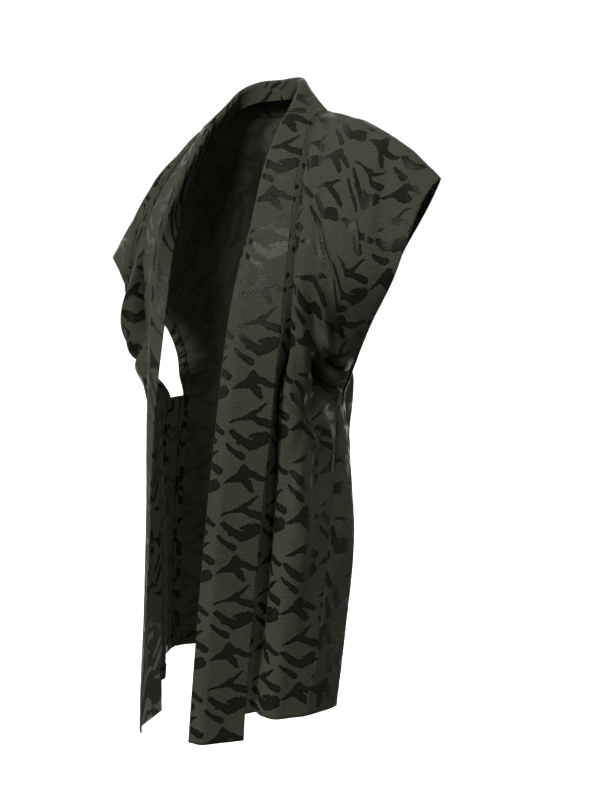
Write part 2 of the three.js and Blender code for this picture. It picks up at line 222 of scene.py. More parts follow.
# Smaller creases. row1 at1, row2 at2, row3 at3: the crease's line through three places, each a
# body row and the cloth from the inner edge. half, depth as above.
LEFT_CREASES = [
    # front: the ridge beside the collar, the hollow next to it and the fold that bounds that
    (6.25, 32, 5.5, 37, 4.6, 44, 6, 7),
    (6.2, 50, 5.6, 54, 5.0, 55, 9, -12),
    (6.5, 66, 5.7, 76, 5.2, 78, 7, 6),
    # the tuck under the arm and the pouch that hangs over it
    (5.0, 54, 4.5, 80, 4.15, 124, 12, -28),
    (5.3, 64, 5.2, 92, 4.95, 120, 11, 15),
    (4.85, 76, 4.8, 96, 4.75, 114, 6, -8),
    # folds that run down from the tuck
    (4.15, 8, 3.65, 43, 2.95, 92, 6, 9),
    (4.05, 33, 3.6, 54, 3.25, 86, 6, -10),
    (3.7, 84, 3.35, 104, 2.7, 110, 7, 7),
    (3.3, 100, 2.9, 84, 2.3, 78, 9, -6),
    (3.0, 26, 2.3, 32, 1.4, 28, 10, -4),
    (2.5, 66, 1.7, 62, 0.7, 66, 12, 5),
    # short creases on the cap
    (7.2, 62, 6.6, 81, 6.2, 108, 4, -6),
    (7.2, 76, 6.8, 92, 6.4, 116, 7, 4),
    (8.3, 10, 7.8, 28, 7.2, 60, 4, -4),
    (8.5, 20, 8.0, 40, 7.5, 64, 8, 2.5),
    (7.9, 120, 7.5, 132, 6.9, 134, 7, -3),
    (8.7, 150, 8.1, 160, 7.4, 150, 10, 3),
    # back
    (11.6, 60, 12.2, 96, 13.4, 120, 10, -4),
    (12.0, 110, 12.9, 150, 14.2, 176, 9, 4),
    (14.6, 150, 15.6, 132, 16.8, 150, 9, -7),
    (15.6, 158, 16.4, 140, 17.6, 120, 7, 5),
    (16.6, 176, 17.2, 150, 18.4, 132, 8, -6),
    (17.6, 190, 18.4, 172, 19.6, 168, 9, 4),
    (17.2, 60, 18.3, 70, 19.8, 58, 12, 3),
]
RIGHT_CREASES = [
    # front: the bulge beside the collar and the hollow under it
    (7.3, 4, 6.5, 34, 5.45, 84, 8, 7),
    (6.8, 10, 6.1, 14, 5.2, 20, 11, -22),
    (5.3, 22, 5.15, 48, 4.75, 68, 8, -15),
    (7.6, 60, 7.0, 70, 6.4, 96, 12, -6),
    (8.2, 30, 7.6, 52, 7.0, 86, 7, 3),
    (9.4, 24, 9.2, 90, 9.1, 150, 9, -4),
    (9.7, 60, 9.4, 130, 9.3, 200, 10, 4),
    # folds that run down from the arm
    (4.5, 72, 3.8, 50, 3.0, 46, 7, 5),
    (4.2, 96, 3.5, 78, 2.4, 74, 8, -5),
    (3.6, 24, 2.9, 30, 2.0, 24, 9, 3),
    (2.6, 52, 1.8, 48, 0.8, 54, 11, 3),
    # back
    (11.8, 90, 12.5, 128, 13.8, 150, 10, 4),
    (12.4, 50, 13.3, 84, 14.8, 96, 11, -4),
    (14.8, 190, 15.7, 160, 16.9, 158, 8, -7),
    (15.8, 196, 16.6, 176, 17.8, 136, 8, 5),
    (16.8, 170, 17.6, 160, 18.8, 164, 9, -5),
    (17.4, 88, 18.6, 80, 20.0, 92, 13, 3),
]


# ---------- tables and curves ----------
def sample(rows, at):
    """A table's columns at fractional rows, on a Catmull-Rom curve through its rows."""
    table = np.asarray(rows, float)
    last = len(table) - 1
    t = np.clip(np.atleast_1d(np.asarray(at, float)), 0, last)
    k = np.minimum(t.astype(int), last - 1)
    f = (t - k)[:, None]
    ends = np.vstack([2 * table[0] - table[1], table, 2 * table[-1] - table[-2]])
    p0, p1, p2, p3 = (ends[k + i] for i in range(4))
    bend = (2 * p0 - 5 * p1 + 4 * p2 - p3) * f ** 2 + (3 * p1 - p0 - 3 * p2 + p3) * f ** 3
    return 0.5 * (2 * p1 + (p2 - p0) * f + bend)


def smooth(low, high, value):
    """0 up to low, 1 from high on, with a soft step between them."""
    t = np.clip((value - low) / (high - low), 0, 1)
    return t * t * (3 - 2 * t)


def unit(v):
    """Vectors at length 1."""
    return v / np.maximum(np.linalg.norm(v, axis=-1, keepdims=True), 1e-9)


def waves(seed, count, spread):
    """Phase, length, lean and height of each of a fixed set of waves."""
    rng = np.random.default_rng(seed)
    turn = rng.uniform(0, 2 * math.pi, count)
    size = rng.uniform(spread[0], spread[1], count)
    lean = rng.uniform(-WAVE_LEAN, WAVE_LEAN, count)
    power = rng.uniform(*WAVE_POWER, count)
    return turn, size, lean, power


def ripple(u, v, seed, kind):
    """Uneven low ripples over cloth at u across and v along, about 1 high."""
    total = np.zeros_like(u)
    for turn, size, lean, power in zip(*waves(seed, kind["count"], kind["spread"])):
        run = u * math.cos(lean) + v * math.sin(lean)
        total += power * np.sin(2 * math.pi * run / size + turn)
    return total / math.sqrt(kind["count"])


# ---------- collar band ----------
def collar_frame(rows, at):
    """The seam line and the way the band runs off it."""
    row = sample(rows, at)
    lean = np.radians(row[:, 3])
    reach, rise = row[:, 4], row[:, 5]
    across = np.stack([-np.cos(lean) * reach, -np.sin(lean) * reach, rise], 1)
    return row[:, :3], unit(across), np.linalg.norm(across, axis=1), row[:, 6], row[:, 7]


def inward_at(rows, at):
    """The way into the coat, square to the seam line and to the band."""
    step = 0.25
    before = collar_frame(rows, np.maximum(at - step, 0))[0]
    after = collar_frame(rows, np.minimum(at + step, CENTRE_ROW))[0]
    past = at > CENTRE_ROW - step
    after[past] = before[past] * (-1, 1, 1)
    across = collar_frame(rows, at)[1]
    return unit(np.cross(across, after - before))


def band_points(rows, at, share):
    """Band surface at collar rows and shares of its width, seam to inner edge."""
    seam, across, flat, turn, fold = collar_frame(rows, at)
    inward = inward_at(rows, at)
    angle = np.radians(fold)
    bend = np.maximum(BEND_MIN, angle * BEND_RADIUS)
    start = flat - bend / 2
    s = share * (flat + turn)[:, None]
    a = np.clip((s - start[:, None]) / bend[:, None], 0, 1) * angle[:, None]
    radius = (bend / angle)[:, None]
    past = np.maximum(s - (start + bend)[:, None], 0)
    x = np.minimum(s, start[:, None]) + radius * np.sin(a) + past * np.cos(angle)[:, None]
    y = radius * (1 - np.cos(a)) + past * np.sin(angle)[:, None]
    return seam[:, None] + x[..., None] * across[:, None] + y[..., None] * inward[:, None]


# ---------- body ----------
def rows_between(edge_of, first, last):
    """Fractional rows, closer where the cloth between two table rows is longer."""
    found = [float(first)]
    for k in range(first, last):
        fine = np.linspace(k, k + 1, ROW_SAMPLES)
        run = max(np.linalg.norm(np.diff(e, axis=0), axis=1).sum() for e in edge_of(fine))
        steps = max(2, int(math.ceil(run / ROW_RUN)))
        found += [k + (j + 1) / steps for j in range(steps)]
    return np.array(found)


def body_edges(collar, body, at):
    """Inner and outer edge of one half, and how far its middle stands off."""
    row = sample(body, at)
    level = np.minimum(np.where(at >= CENTRE_ROW, CENTRE_ROW, row[:, 0]), CENTRE_ROW)
    inner = collar_frame(collar, level)[0]
    back = at > CENTRE_ROW
    spine = sample(SPINE, np.maximum(at - CENTRE_ROW, 0))
    inner[back] = np.stack([np.full(back.sum(), CENTRE_GAP), spine[back, 0], spine[back, 1]], 1)
    return inner, row[:, 1:4], row[:, 4:7], level


def faded(height, distance, width):
    """Folds that die out towards the inner and the outer edge."""
    return height * smooth(0, BAND_FADE, distance) * smooth(0, EDGE_FADE, width - distance)


def fold_height(folds, at, distance, width):
    """Large folds, each along a line that crosses the body's rows."""
    height = np.zeros_like(distance)
    rows = at[:, None]
    for start, stop, near, far, half, depth in folds:
        along = (rows - start) / (stop - start)
        on = (along >= 0) & (along <= 1)
        line = near + (far - near) * along
        swell = np.sin(math.pi * np.clip(along, 0, 1)) ** FOLD_SWELL
        height += np.where(on, depth * swell * np.exp(-((distance - line) / half) ** 2), 0)
    return faded(height, distance, width)


def crease_height(creases, at, v_at, distance, width):
    """Smaller creases, each along a line through three places on the cloth."""
    height = np.zeros_like(distance)
    v = v_at[:, None]
    for row1, at1, row2, at2, row3, at3, half, depth in creases:
        places = [(a, float(np.interp(r, at, v_at))) for r, a in
                  ((row1, at1), (row2, at2), (row3, at3))]
        t = np.linspace(0, 1, CREASE_POINTS)[:, None]
        p1, p2, p3 = (np.array(p) for p in places)
        mid = 2 * p2 - 0.5 * (p1 + p3)
        line = (1 - t) ** 2 * p1 + 2 * t * (1 - t) * mid + t ** 2 * p3
        best = np.full(distance.shape, np.inf)
        where = np.zeros(distance.shape)
        for k in range(len(line) - 1):
            d = line[k + 1] - line[k]
            ru, rv = distance - line[k][0], v - line[k][1]
            h = np.clip((ru * d[0] + rv * d[1]) / (d @ d), 0, 1)
            off = np.hypot(ru - h * d[0], rv - h * d[1])
            closer = off < best
            best[closer] = off[closer]
            where[closer] = (k + h[closer]) / (len(line) - 1)
        along = CREASE_TIP + (1 - 2 * CREASE_TIP) * where
        swell = np.sin(math.pi * along) ** CREASE_SWELL
        height += depth * swell * np.exp(-(best / half) ** 2)
    return faded(height, distance, width)


def along_rows(grid):
    """Distance along each row of a grid from its first column."""
    run = np.linalg.norm(np.diff(grid, axis=1), axis=2)
    return np.concatenate([np.zeros((len(grid), 1)), np.cumsum(run, axis=1)], axis=1)


def along_columns(grid, zero):
    """Distance along each column of a grid from the row at zero."""
    run = np.linalg.norm(np.diff(grid, axis=0), axis=2)
    total = np.concatenate([np.zeros((1, grid.shape[1])), np.cumsum(run, axis=0)], axis=0)
    return total - total[zero]


def square_out(grid):
    """Unit vectors square to a grid: across the columns, then along the rows."""
    return unit(np.cross(np.gradient(grid, axis=1), np.gradient(grid, axis=0)))


def lay(grid, out, rows, cols, inset):
    """Points at fractional rows and columns of a grid, moved in from its outer face."""
    j = np.clip(np.floor(rows).astype(int), 0, grid.shape[0] - 2)
    i = np.clip(np.floor(cols).astype(int), 0, grid.shape[1] - 2)
    fj, fi = (rows - j)[..., None], (cols - i)[..., None]

    def blend(a):
        low = a[j, i] * (1 - fi) + a[j, i + 1] * fi
        high = a[j + 1, i] * (1 - fi) + a[j + 1, i + 1] * fi
        return low * (1 - fj) + high * fj
    return blend(grid) - unit(blend(out)) * inset[..., None]


def turned(spacing, widths):
    """Fractional places and insets of a turned edge, for an edge at place 0."""
    places = [np.where(share > 0, share * widths, share) / spacing for share, _ in TURNING]
    return np.array(places), np.array([inset for _, inset in TURNING])


def hemmed(surface, back_hem):
    """Fractional rows of a surface with its first row's hem turned up, and their insets."""
    count = len(surface)
    low, low_in = turned(np.linalg.norm(surface[1] - surface[0], axis=1).mean(), HEM_TURNING)
    rows, insets = [low, np.arange(count)], [low_in, np.zeros(count)]
    if back_hem:
        gap = np.linalg.norm(surface[-1] - surface[-2], axis=1).mean()
        high, high_in = turned(gap, HEM_TURNING)
        rows.append(count - 1 - high[::-1])
        insets.append(high_in[::-1])
    return np.concatenate(rows), np.concatenate(insets)


def body_surface(collar, body, folds, creases, seed):
    """One half of the body with its folds: its rows, collar rows, width and points."""
    at = rows_between(lambda f: body_edges(collar, body, f)[:2], 0, HEM_ROW)
    inner, outer, bow, level = body_edges(collar, body, at)
    t = np.linspace(0, 1, BODY_ACROSS + 1)[None, :, None]
    middle = 0.5 * (inner + outer) + 2 * bow
    plain = (1 - t) ** 2 * inner[:, None] + 2 * t * (1 - t) * middle[:, None]
    plain += t ** 2 * outer[:, None]
    distance = along_rows(plain)
    width = distance[:, -1:]
    v = along_columns(plain, int(np.argmin(np.abs(at - RIDGE_ROW))))
    height = fold_height(folds, at, distance, width)
    height += crease_height(creases, at, v[:, BODY_ACROSS // 2], distance, width)
    calm = BODY_RIPPLE["calm"]
    calm = smooth(0, calm, distance) * smooth(0, calm, width - distance)
    height += BODY_RIPPLE["height"] * calm * ripple(distance, v, seed, BODY_RIPPLE)
    near_seam = np.exp(-distance / BODY_PUCKER["inner"])
    near_seam += np.exp(-(width - distance) / BODY_PUCKER["outer"])
    pucker = ripple(BODY_PUCKER["slack"] * distance, v, seed + 1, BODY_PUCKER)
    height += BODY_PUCKER["height"] * near_seam * pucker
    return at, level, width[:, 0], plain + square_out(plain) * height[..., None]


def level_grain(v, at):
    """Brings the cross grain level down the back, whatever the cap takes up at the shoulder."""
    top = int(np.argmin(np.abs(at - RIDGE_ROW)))
    middle = v[:, v.shape[1] // 2]
    ease = 1 - smooth(RIDGE_ROW, BACK_UNDERARM_ROW, at)
    eased = middle[:, None] + (v[top] - middle[top]) * ease[:, None]
    return np.concatenate([v[:top], eased[top:]])


def body_piece(collar, body, folds, creases, seed):
    """One half of the body as a mid-surface grid with its edges turned in, and its uv."""
    at, level, width, surface = body_surface(collar, body, folds, creases, seed)
    out = square_out(surface)
    n_rows, n_cols = surface.shape[:2]
    # rows with both hems turned up, columns with the outer edge turned in
    rows, row_in = hemmed(surface, True)
    armhole = smooth(UNDERARM_ROW, UNDERARM_ROW + ARMHOLE_STEP, at)
    armhole *= 1 - smooth(BACK_UNDERARM_ROW - ARMHOLE_STEP, BACK_UNDERARM_ROW, at)
    turning = SEAM_TURNING + (ARMHOLE_TURNING - SEAM_TURNING) * armhole
    row_at = np.clip(rows, 0, n_rows - 1)
    at, level, spacing, turning = (np.interp(row_at, np.arange(n_rows), a) for a in
                                   (at, level, width / BODY_ACROSS, turning))
    edge, edge_in = turned(spacing, turning)
    main = np.tile(np.arange(n_cols, dtype=float), (len(rows), 1))
    cols = np.concatenate([main, (n_cols - 1 - edge[::-1]).T], axis=1)
    col_in = np.concatenate([np.zeros(n_cols), edge_in[::-1]])
    grid = lay(surface, out, rows[:, None], cols, row_in[:, None] + col_in)
    # the inner edge runs on inside the collar band, and is turned in down the centre back
    across = collar_frame(collar, level)[1] * SEAM_REACH
    extra = np.stack([grid[:, 0] + across, grid[:, 0] + across * 0.5], 1)
    back = at > CENTRE_ROW
    for slot, (reach, inset) in enumerate(CENTRE_TURNING):
        column = (reach / spacing[back])[:, None]
        inset = row_in[back][:, None] + inset
        extra[back, slot] = lay(surface, out, rows[back][:, None], column, inset)[:, 0]
    grid = np.concatenate([extra, grid], axis=1)
    u = along_rows(grid)
    u -= u[:, 2:3]
    v = level_grain(along_columns(grid, int(np.argmin(np.abs(rows)))), at)
    return grid, np.stack([u, v], 2)


def gusset_piece(body, seed):
    """The gusset between a half's two side seams as a mid-surface grid, and its uv."""
    at = rows_between(lambda f: (sample(body, f)[:, 1:4],), 0, UNDERARM_ROW)
    front = sample(body, at)[:, 1:4]
    back = sample(body, HEM_ROW - at)[:, 1:4]
    across = unit(back - front)
    out = unit(np.stack([across[:, 1], -across[:, 0], 0 * across[:, 0]], 1))
    t = np.linspace(0, 1, GUSSET_ACROSS + 1)[None, :, None]
    surface = front[:, None] * (1 - t) + back[:, None] * t
    surface += out[:, None] * GUSSET_BOW * 4 * t * (1 - t)
    width = np.linalg.norm(back - front, axis=1)
    distance = t[..., 0] * width[:, None]
    v = along_columns(surface, 0)
    calm = GUSSET_RIPPLE["calm"]
    calm = smooth(0, calm, distance) * smooth(0, calm, width[:, None] - distance)
    height = GUSSET_RIPPLE["height"] * calm * ripple(distance, v, seed, GUSSET_RIPPLE)
    surface += out[:, None] * height[..., None]
    n_rows, n_cols = surface.shape[:2]
    rows, row_in = hemmed(surface, False)
    row_at = np.clip(rows, 0, n_rows - 1)
    spacing = np.interp(row_at, np.arange(n_rows), width / GUSSET_ACROSS)
    most = GUSSET_TURNING * spacing * GUSSET_ACROSS
    edge, edge_in = turned(spacing, np.minimum(SEAM_TURNING, most))
    main = np.tile(np.arange(n_cols, dtype=float), (len(rows), 1))
    cols = np.concatenate([edge.T, main, (n_cols - 1 - edge[::-1]).T], axis=1)
    col_in = np.concatenate([edge_in, np.zeros(n_cols), edge_in[::-1]])
    grid = lay(surface, square_out(surface), rows[:, None], cols, row_in[:, None] + col_in)
    return grid, np.stack([along_rows(grid), along_columns(grid, 0)], 2)


# ---------- meshes ----------
def edge_share(distance, half):
    """Share of the full thickness at a distance from a rounded edge."""
    t = np.clip(distance / (EDGE_ROUND * half), 0, 1)
    return np.maximum(np.sqrt(1 - (1 - t) ** 2), EDGE_LEAST)


def shell_mesh(name, grid, uv, half):
    """A closed wall round a mid-surface grid whose cross product across x along points out."""
    rows, cols = grid.shape[:2]
    out = square_out(grid)
    thick = np.broadcast_to(half, (rows, cols))[..., None]
    points = np.concatenate([grid + out * thick, grid - out * thick]).reshape(-1, 3) * MM
    top = np.arange(rows * cols).reshape(rows, cols)
    under = top + rows * cols
    faces = []
    kinds = []

    def add(a, b, c, d, kind):
        faces.append(np.stack([x.ravel() for x in (a, b, c, d)], 1))
        kinds.append(np.full(a.size, kind))
    add(top[:-1, :-1], top[:-1, 1:], top[1:, 1:], top[1:, :-1], 0)
    add(under[:-1, :-1], under[1:, :-1], under[1:, 1:], under[:-1, 1:], 1)
    add(top[:-1, 0], top[1:, 0], under[1:, 0], under[:-1, 0], 0)
    add(top[:-1, -1], under[:-1, -1], under[1:, -1], top[1:, -1], 0)
    add(top[0, :-1], under[0, :-1], under[0, 1:], top[0, 1:], 0)
    add(top[-1, :-1], top[-1, 1:], under[-1, 1:], under[-1, :-1], 0)
    quads = np.concatenate(faces)
    mesh = bpy.data.meshes.new(name)
    mesh.vertices.add(len(points))
    mesh.vertices.foreach_set("co", points.ravel())
    mesh.loops.add(quads.size)
    mesh.loops.foreach_set("vertex_index", quads.ravel().astype(np.int32))
    mesh.polygons.add(len(quads))
    mesh.polygons.foreach_set("loop_start", np.arange(0, quads.size, 4, dtype=np.int32))
    mesh.polygons.foreach_set("loop_total", np.full(len(quads), 4, dtype=np.int32))
    mesh.polygons.foreach_set("material_index", np.concatenate(kinds).astype(np.int32))
    mesh.polygons.foreach_set("use_smooth", np.ones(len(quads), dtype=bool))
    layer = mesh.uv_layers.new(name="cloth")
    flat_uv = np.concatenate([uv.reshape(-1, 2), uv.reshape(-1, 2)]) * MM
    layer.data.foreach_set("uv", flat_uv[quads.ravel()].astype(np.float32).ravel())
    mesh.update(calc_edges=True)
    mesh.validate()
    return mesh


def mirrored(grid):
    """Points on the wearer's other side."""
    return grid * (-1, 1, 1)


# ---------- material ----------
class Nodes:
    """Short calls that add nodes to a tree and join them."""

    def __init__(self, tree):
        self.tree = tree

    def add(self, kind, **settings):
        """A new node with its settings."""
        node = self.tree.nodes.new(kind)
        for key, value in settings.items():
            setattr(node, key, value)
        return node

    def put(self, socket, value):
        """Joins a socket to an output, or sets its value."""
        if isinstance(value, bpy.types.NodeSocket):
            self.tree.links.new(value, socket)
        elif value is not None:
            socket.default_value = value

    def math(self, operation, a, b=None, c=None, clamp=False):
        node = self.add("ShaderNodeMath", operation=operation, use_clamp=clamp)
        for socket, value in zip(node.inputs, (a, b, c)):
            self.put(socket, value)
        return node.outputs[0]

    def vector(self, operation, a, b=None, c=None, scale=None):
        node = self.add("ShaderNodeVectorMath", operation=operation)
        for socket, value in zip(node.inputs, (a, b, c)):
            self.put(socket, value)
        if scale is not None:
            self.put(node.inputs["Scale"], scale)
        return node.outputs["Value" if operation in ("DOT_PRODUCT", "DISTANCE") else "Vector"]

    def noise(self, vector, scale, detail, roughness, w=None):
        node = self.add("ShaderNodeTexNoise", noise_dimensions="4D" if w is not None else "3D")
        self.put(node.inputs["Vector"], vector)
        self.put(node.inputs["Scale"], scale)
        self.put(node.inputs["Detail"], detail)
        self.put(node.inputs["Roughness"], roughness)
        if w is not None:
            self.put(node.inputs["W"], w)
        return node

    def mix(self, factor, a, b, kind="RGBA"):
        """a at factor 0 and b at 1: colours, or numbers where kind is FLOAT."""
        node = self.add("ShaderNodeMix", data_type=kind)
        self.put(node.inputs["Factor"], factor)
        wanted = "RGBA" if kind == "RGBA" else "VALUE"
        ends = [s for s in node.inputs if s.name in ("A", "B") and s.type == wanted]
        self.put(ends[0], a)
        self.put(ends[1], b)
        return next(s for s in node.outputs if s.type == wanted)

    def remap(self, value, low, high, to_low=0.0, to_high=1.0):
        """A soft step from to_low, at low, to to_high, at high."""
        node = self.add("ShaderNodeMapRange", interpolation_type="SMOOTHSTEP")
        for socket, v in zip(node.inputs, (value, low, high, to_low, to_high)):
            self.put(socket, v)
        return node.outputs[0]


# The woven figure: one repeat of a branching camouflage, charted in strokes that taper. The chart's
# unit is CHART_UNIT of cloth, x runs across it and y up it.
# x y: middle of the stroke. dx dy: from its middle to its end. r1 r2: half width at either end.
CHART_UNIT = 0.92
REPEAT = (128.0, 140.0)
STROKES = [
    # bird, with its head up and its beak to the left
    (19, 88, -11, -5, 5.6, 1.0),
    (34, 98, 3, 6, 7.6, 6.8),
    (53, 95, 14, -6, 6.4, 3.4),
    (44, 81, 8, -10, 7.2, 4.6),
    # thin fork
    (26, 40, 15, 4, 1.2, 4.8),
    (50, 53, 11, 9, 4.8, 1.2),
    (54, 37, 13, -5, 4.0, 6.0),
    # cup, with a leaf under it
    (21, 15, 7, -6, 4.6, 5.6),
    (36, 4, 9, -4, 6.0, 6.8),
    (56, 7, 6, 4, 8.6, 9.0),
    (47, 15, 6, 2, 2.4, 5.0),
    (20, -8, 12, -9, 3.0, 5.4),
    # the same three, half a repeat on and each a little different
    (84, 20, -11, -6, 5.6, 1.2),
    (98, 30, 3, 6, 7.4, 6.2),
    (115, 25, 13, -6, 6.2, 3.2),
    (107, 12, 8, -9, 6.8, 4.4),
    (90, 110, 14, 4, 1.2, 4.6),
    (112, 123, 10, 8, 4.6, 1.4),
    (116, 107, 12, -5, 4.0, 5.8),
    (84, 84, 7, -6, 4.4, 5.6),
    (98, 73, 8, -4, 6.0, 6.6),
    (117, 76, 6, 4, 8.0, 8.2),
    (83, 60, 11, -9, 3.0, 5.2),
]
WAVER = 11.0            # how far the outline strays from the strokes
WAVER_NOISE = (1.7, 2.5, 0.55)   # scale, detail and roughness of that
PICK = 0.5              # the outline steps from yarn to yarn
JOIN = 2.4              # how softly strokes run together
OUTLINE = 0.35          # half the width of the outline's blur
CORE = (0.6, 2.8)       # the figure's middle: where inside the outline it starts and is full


def figure_group():
    """Node group that turns chart coordinates into the figure, 0 or 1, and the middle of it."""
    tree = bpy.data.node_groups.new("camouflage_figure", "ShaderNodeTree")
    tree.interface.new_socket("Vector", in_out="INPUT", socket_type="NodeSocketVector")
    tree.interface.new_socket("Figure", in_out="OUTPUT", socket_type="NodeSocketFloat")
    tree.interface.new_socket("Core", in_out="OUTPUT", socket_type="NodeSocketFloat")
    n = Nodes(tree)
    source = n.add("NodeGroupInput").outputs[0]
    snapped = n.vector("SNAP", source, (PICK, PICK, 1.0))
    # the outline wavers in step with the repeat
    turns = n.vector("MULTIPLY", snapped, (2 * math.pi / REPEAT[0], 2 * math.pi / REPEAT[1], 0))
    split = n.add("ShaderNodeSeparateXYZ")
    n.put(split.inputs[0], turns)
    ring = n.add("ShaderNodeCombineXYZ")
    n.put(ring.inputs[0], n.math("COSINE", split.outputs[0]))
    n.put(ring.inputs[1], n.math("SINE", split.outputs[0]))
    n.put(ring.inputs[2], n.math("COSINE", split.outputs[1]))
    noise = n.noise(ring.outputs[0], *WAVER_NOISE, w=n.math("SINE", split.outputs[1]))
    waver = n.vector("SUBTRACT", noise.outputs["Color"], (0.5, 0.5, 0.5))
    place = n.vector("MULTIPLY_ADD", waver, (WAVER, WAVER, 0.0), snapped)
    flat = n.vector("MULTIPLY", place, (1, 1, 0))
    far = (REPEAT[0] / 2, REPEAT[1] / 2, 1)
    total = None
    for x, y, dx, dy, r1, r2 in STROKES:
        near = n.vector("SUBTRACT", flat, (x, y, 0))
        wrapped = n.vector("WRAP", near, far, tuple(-c for c in far))
        size = 2 * (dx * dx + dy * dy)
        along = n.vector("DOT_PRODUCT", wrapped, (dx / size, dy / size, 0))
        share = n.math("ADD", along, 0.5, clamp=True)
        spot = n.vector("MULTIPLY_ADD", share, (2 * dx, 2 * dy, 0), (-dx, -dy, 0))
        gap = n.vector("DISTANCE", wrapped, spot)
        reach = n.math("MULTIPLY_ADD", share, r1 - r2, -r1)
        edge = n.math("ADD", gap, reach)
        total = edge if total is None else n.math("SMOOTH_MIN", total, edge, JOIN)
    out = n.add("NodeGroupOutput")
    n.put(out.inputs[0], n.remap(total, OUTLINE, -OUTLINE))
    n.put(out.inputs[1], n.remap(total, -CORE[0], -CORE[1]))
    return tree


# The cloth's finish. Pairs run from the ground to the figure, unless they say otherwise.
GROUND = (0.0300, 0.0310, 0.0225)
FIGURE = (0.0033, 0.0033, 0.0023)
SLUB_SHADE = (0.82, 1.2)         # ground beside a slub and on it
WORN_SHADE = 1.35                # ground in its paler patches
WORN_SHARE = 0.4                 # how much those patches count
FIGURE_SHADE = (0.45, 1.7)       # figure along its outline and in its middle
GRAIN_SHADE = (0.60, 1.42)       # darkest and palest yarns
ROUGHNESS = (0.75, 0.33)         # ground twill and satin figure
SPECULAR = (0.06, 0.75)
SLUB_ROUGH = 0.12                # how much a slub changes the roughness
YARN_IOR = 1.25
YARN_TINT = (1.0, 1.0, 0.86, 1)
SHEEN = (0.01, 0.45, (0.75, 0.8, 0.72, 1))       # weight, roughness, tint
# Noise on the cloth: waves a millimetre across it and along it, then detail and roughness.
SLUB_NOISE = ((0.035, 1.1, 0), 2.0, 0.6)
PATCH_NOISE = ((0.012, 0.010, 0), 3.0, 0.55)
GRAIN_NOISE = ((0.55, 0.85, 0), 1.0, 0.5)
SLUB_RANGE = (0.3, 0.7)          # where each noise starts to count and where it is full
PATCH_RANGE = (0.35, 0.7)
GRAIN_RANGE = (0.28, 0.72)
TWILL_RUN = (0.55, 0.9, 0)
TWILL = (0.42, 0.6)              # scale and distortion
RELIEF = (1.2, 0.45)             # height of the slubs and of the twill
BUMP = (0.35, 0.0004)            # strength, and distance in metres
REVERSE_DEPTH = 0.45             # how plainly the figure shows on the cloth's reverse


def shade(colour, factor):
    """A colour made darker or paler, with its alpha."""
    return tuple(c * factor for c in colour) + (1,)


def jacquard(name, figure, depth=1.0):
    """Ground twill with a satin figure. depth: how plainly the figure shows on this face."""
    material = bpy.data.materials.new(name)
    material.use_nodes = True
    tree = material.node_tree
    n = Nodes(tree)
    shader = tree.nodes["Principled BSDF"]
    cloth = n.add("ShaderNodeUVMap", uv_map="cloth").outputs[0]
    place = n.vector("SCALE", cloth, scale=1 / MM)
    group = n.add("ShaderNodeGroup", node_tree=figure)
    n.put(group.inputs[0], n.vector("SCALE", place, scale=1 / CHART_UNIT))
    shown = n.math("MULTIPLY", group.outputs[0], depth)

    def speckle(run, detail, roughness):
        return n.noise(n.vector("MULTIPLY", place, run), 1.0, detail, roughness).outputs["Fac"]
    # crosswise slubs, paler patches and single yarns, each at its own scale
    slub = speckle(*SLUB_NOISE)
    patch = speckle(*PATCH_NOISE)
    grain = speckle(*GRAIN_NOISE)
    even = n.mix(n.remap(slub, *SLUB_RANGE), *(shade(GROUND, f) for f in SLUB_SHADE))
    worn = n.mix(n.remap(patch, *PATCH_RANGE), even, shade(GROUND, WORN_SHADE))
    ground = n.mix(WORN_SHARE, even, worn)
    dark = n.mix(group.outputs[1], *(shade(FIGURE, f) for f in FIGURE_SHADE))
    yarns = n.remap(grain, *GRAIN_RANGE, *GRAIN_SHADE)
    n.put(shader.inputs["Base Color"], n.vector("SCALE", n.mix(shown, ground, dark), scale=yarns))
    rough = n.mix(shown, *ROUGHNESS, kind="FLOAT")
    rough = n.math("MULTIPLY_ADD", n.math("SUBTRACT", slub, 0.5), SLUB_ROUGH, rough)
    n.put(shader.inputs["Roughness"], rough)
    n.put(shader.inputs["Specular IOR Level"], n.mix(shown, *SPECULAR, kind="FLOAT"))
    n.put(shader.inputs["IOR"], YARN_IOR)
    n.put(shader.inputs["Specular Tint"], YARN_TINT)
    n.put(shader.inputs["Sheen Weight"], SHEEN[0])
    n.put(shader.inputs["Sheen Roughness"], SHEEN[1])
    n.put(shader.inputs["Sheen Tint"], SHEEN[2])
    twill = n.add("ShaderNodeTexWave", wave_type="BANDS", bands_direction="DIAGONAL")
    n.put(twill.inputs["Vector"], n.vector("MULTIPLY", place, TWILL_RUN))
    n.put(twill.inputs["Scale"], TWILL[0])
    n.put(twill.inputs["Distortion"], TWILL[1])
    ribs = n.math("MULTIPLY", twill.outputs["Fac"], RELIEF[1])
    bump = n.add("ShaderNodeBump")
    n.put(bump.inputs["Strength"], BUMP[0])
    n.put(bump.inputs["Distance"], BUMP[1])
    n.put(bump.inputs["Height"], n.math("MULTIPLY_ADD", slub, RELIEF[0], ribs))
    n.put(shader.inputs["Normal"], bump.outputs[0])
    return material


figure = figure_group()
face = jacquard("jacquard_face", figure)
reverse = jacquard("jacquard_reverse", figure, REVERSE_DEPTH)


# ---------- pieces ----------
def add_object(name, data):
    """A new object in the scene."""
    thing = bpy.data.objects.new(name, data)
    bpy.context.scene.collection.objects.link(thing)
    return thing


def place(name, node, grid, uv, half, flat, area=None, inside=reverse):
    """One piece of cloth on its solid. inside: the finish of its inner face."""
    mesh = shell_mesh(name, grid, uv, half)
    mesh.materials.append(face)
    mesh.materials.append(inside)
    piece = add_object(name, mesh)
    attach(piece, "root")
    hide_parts(node)


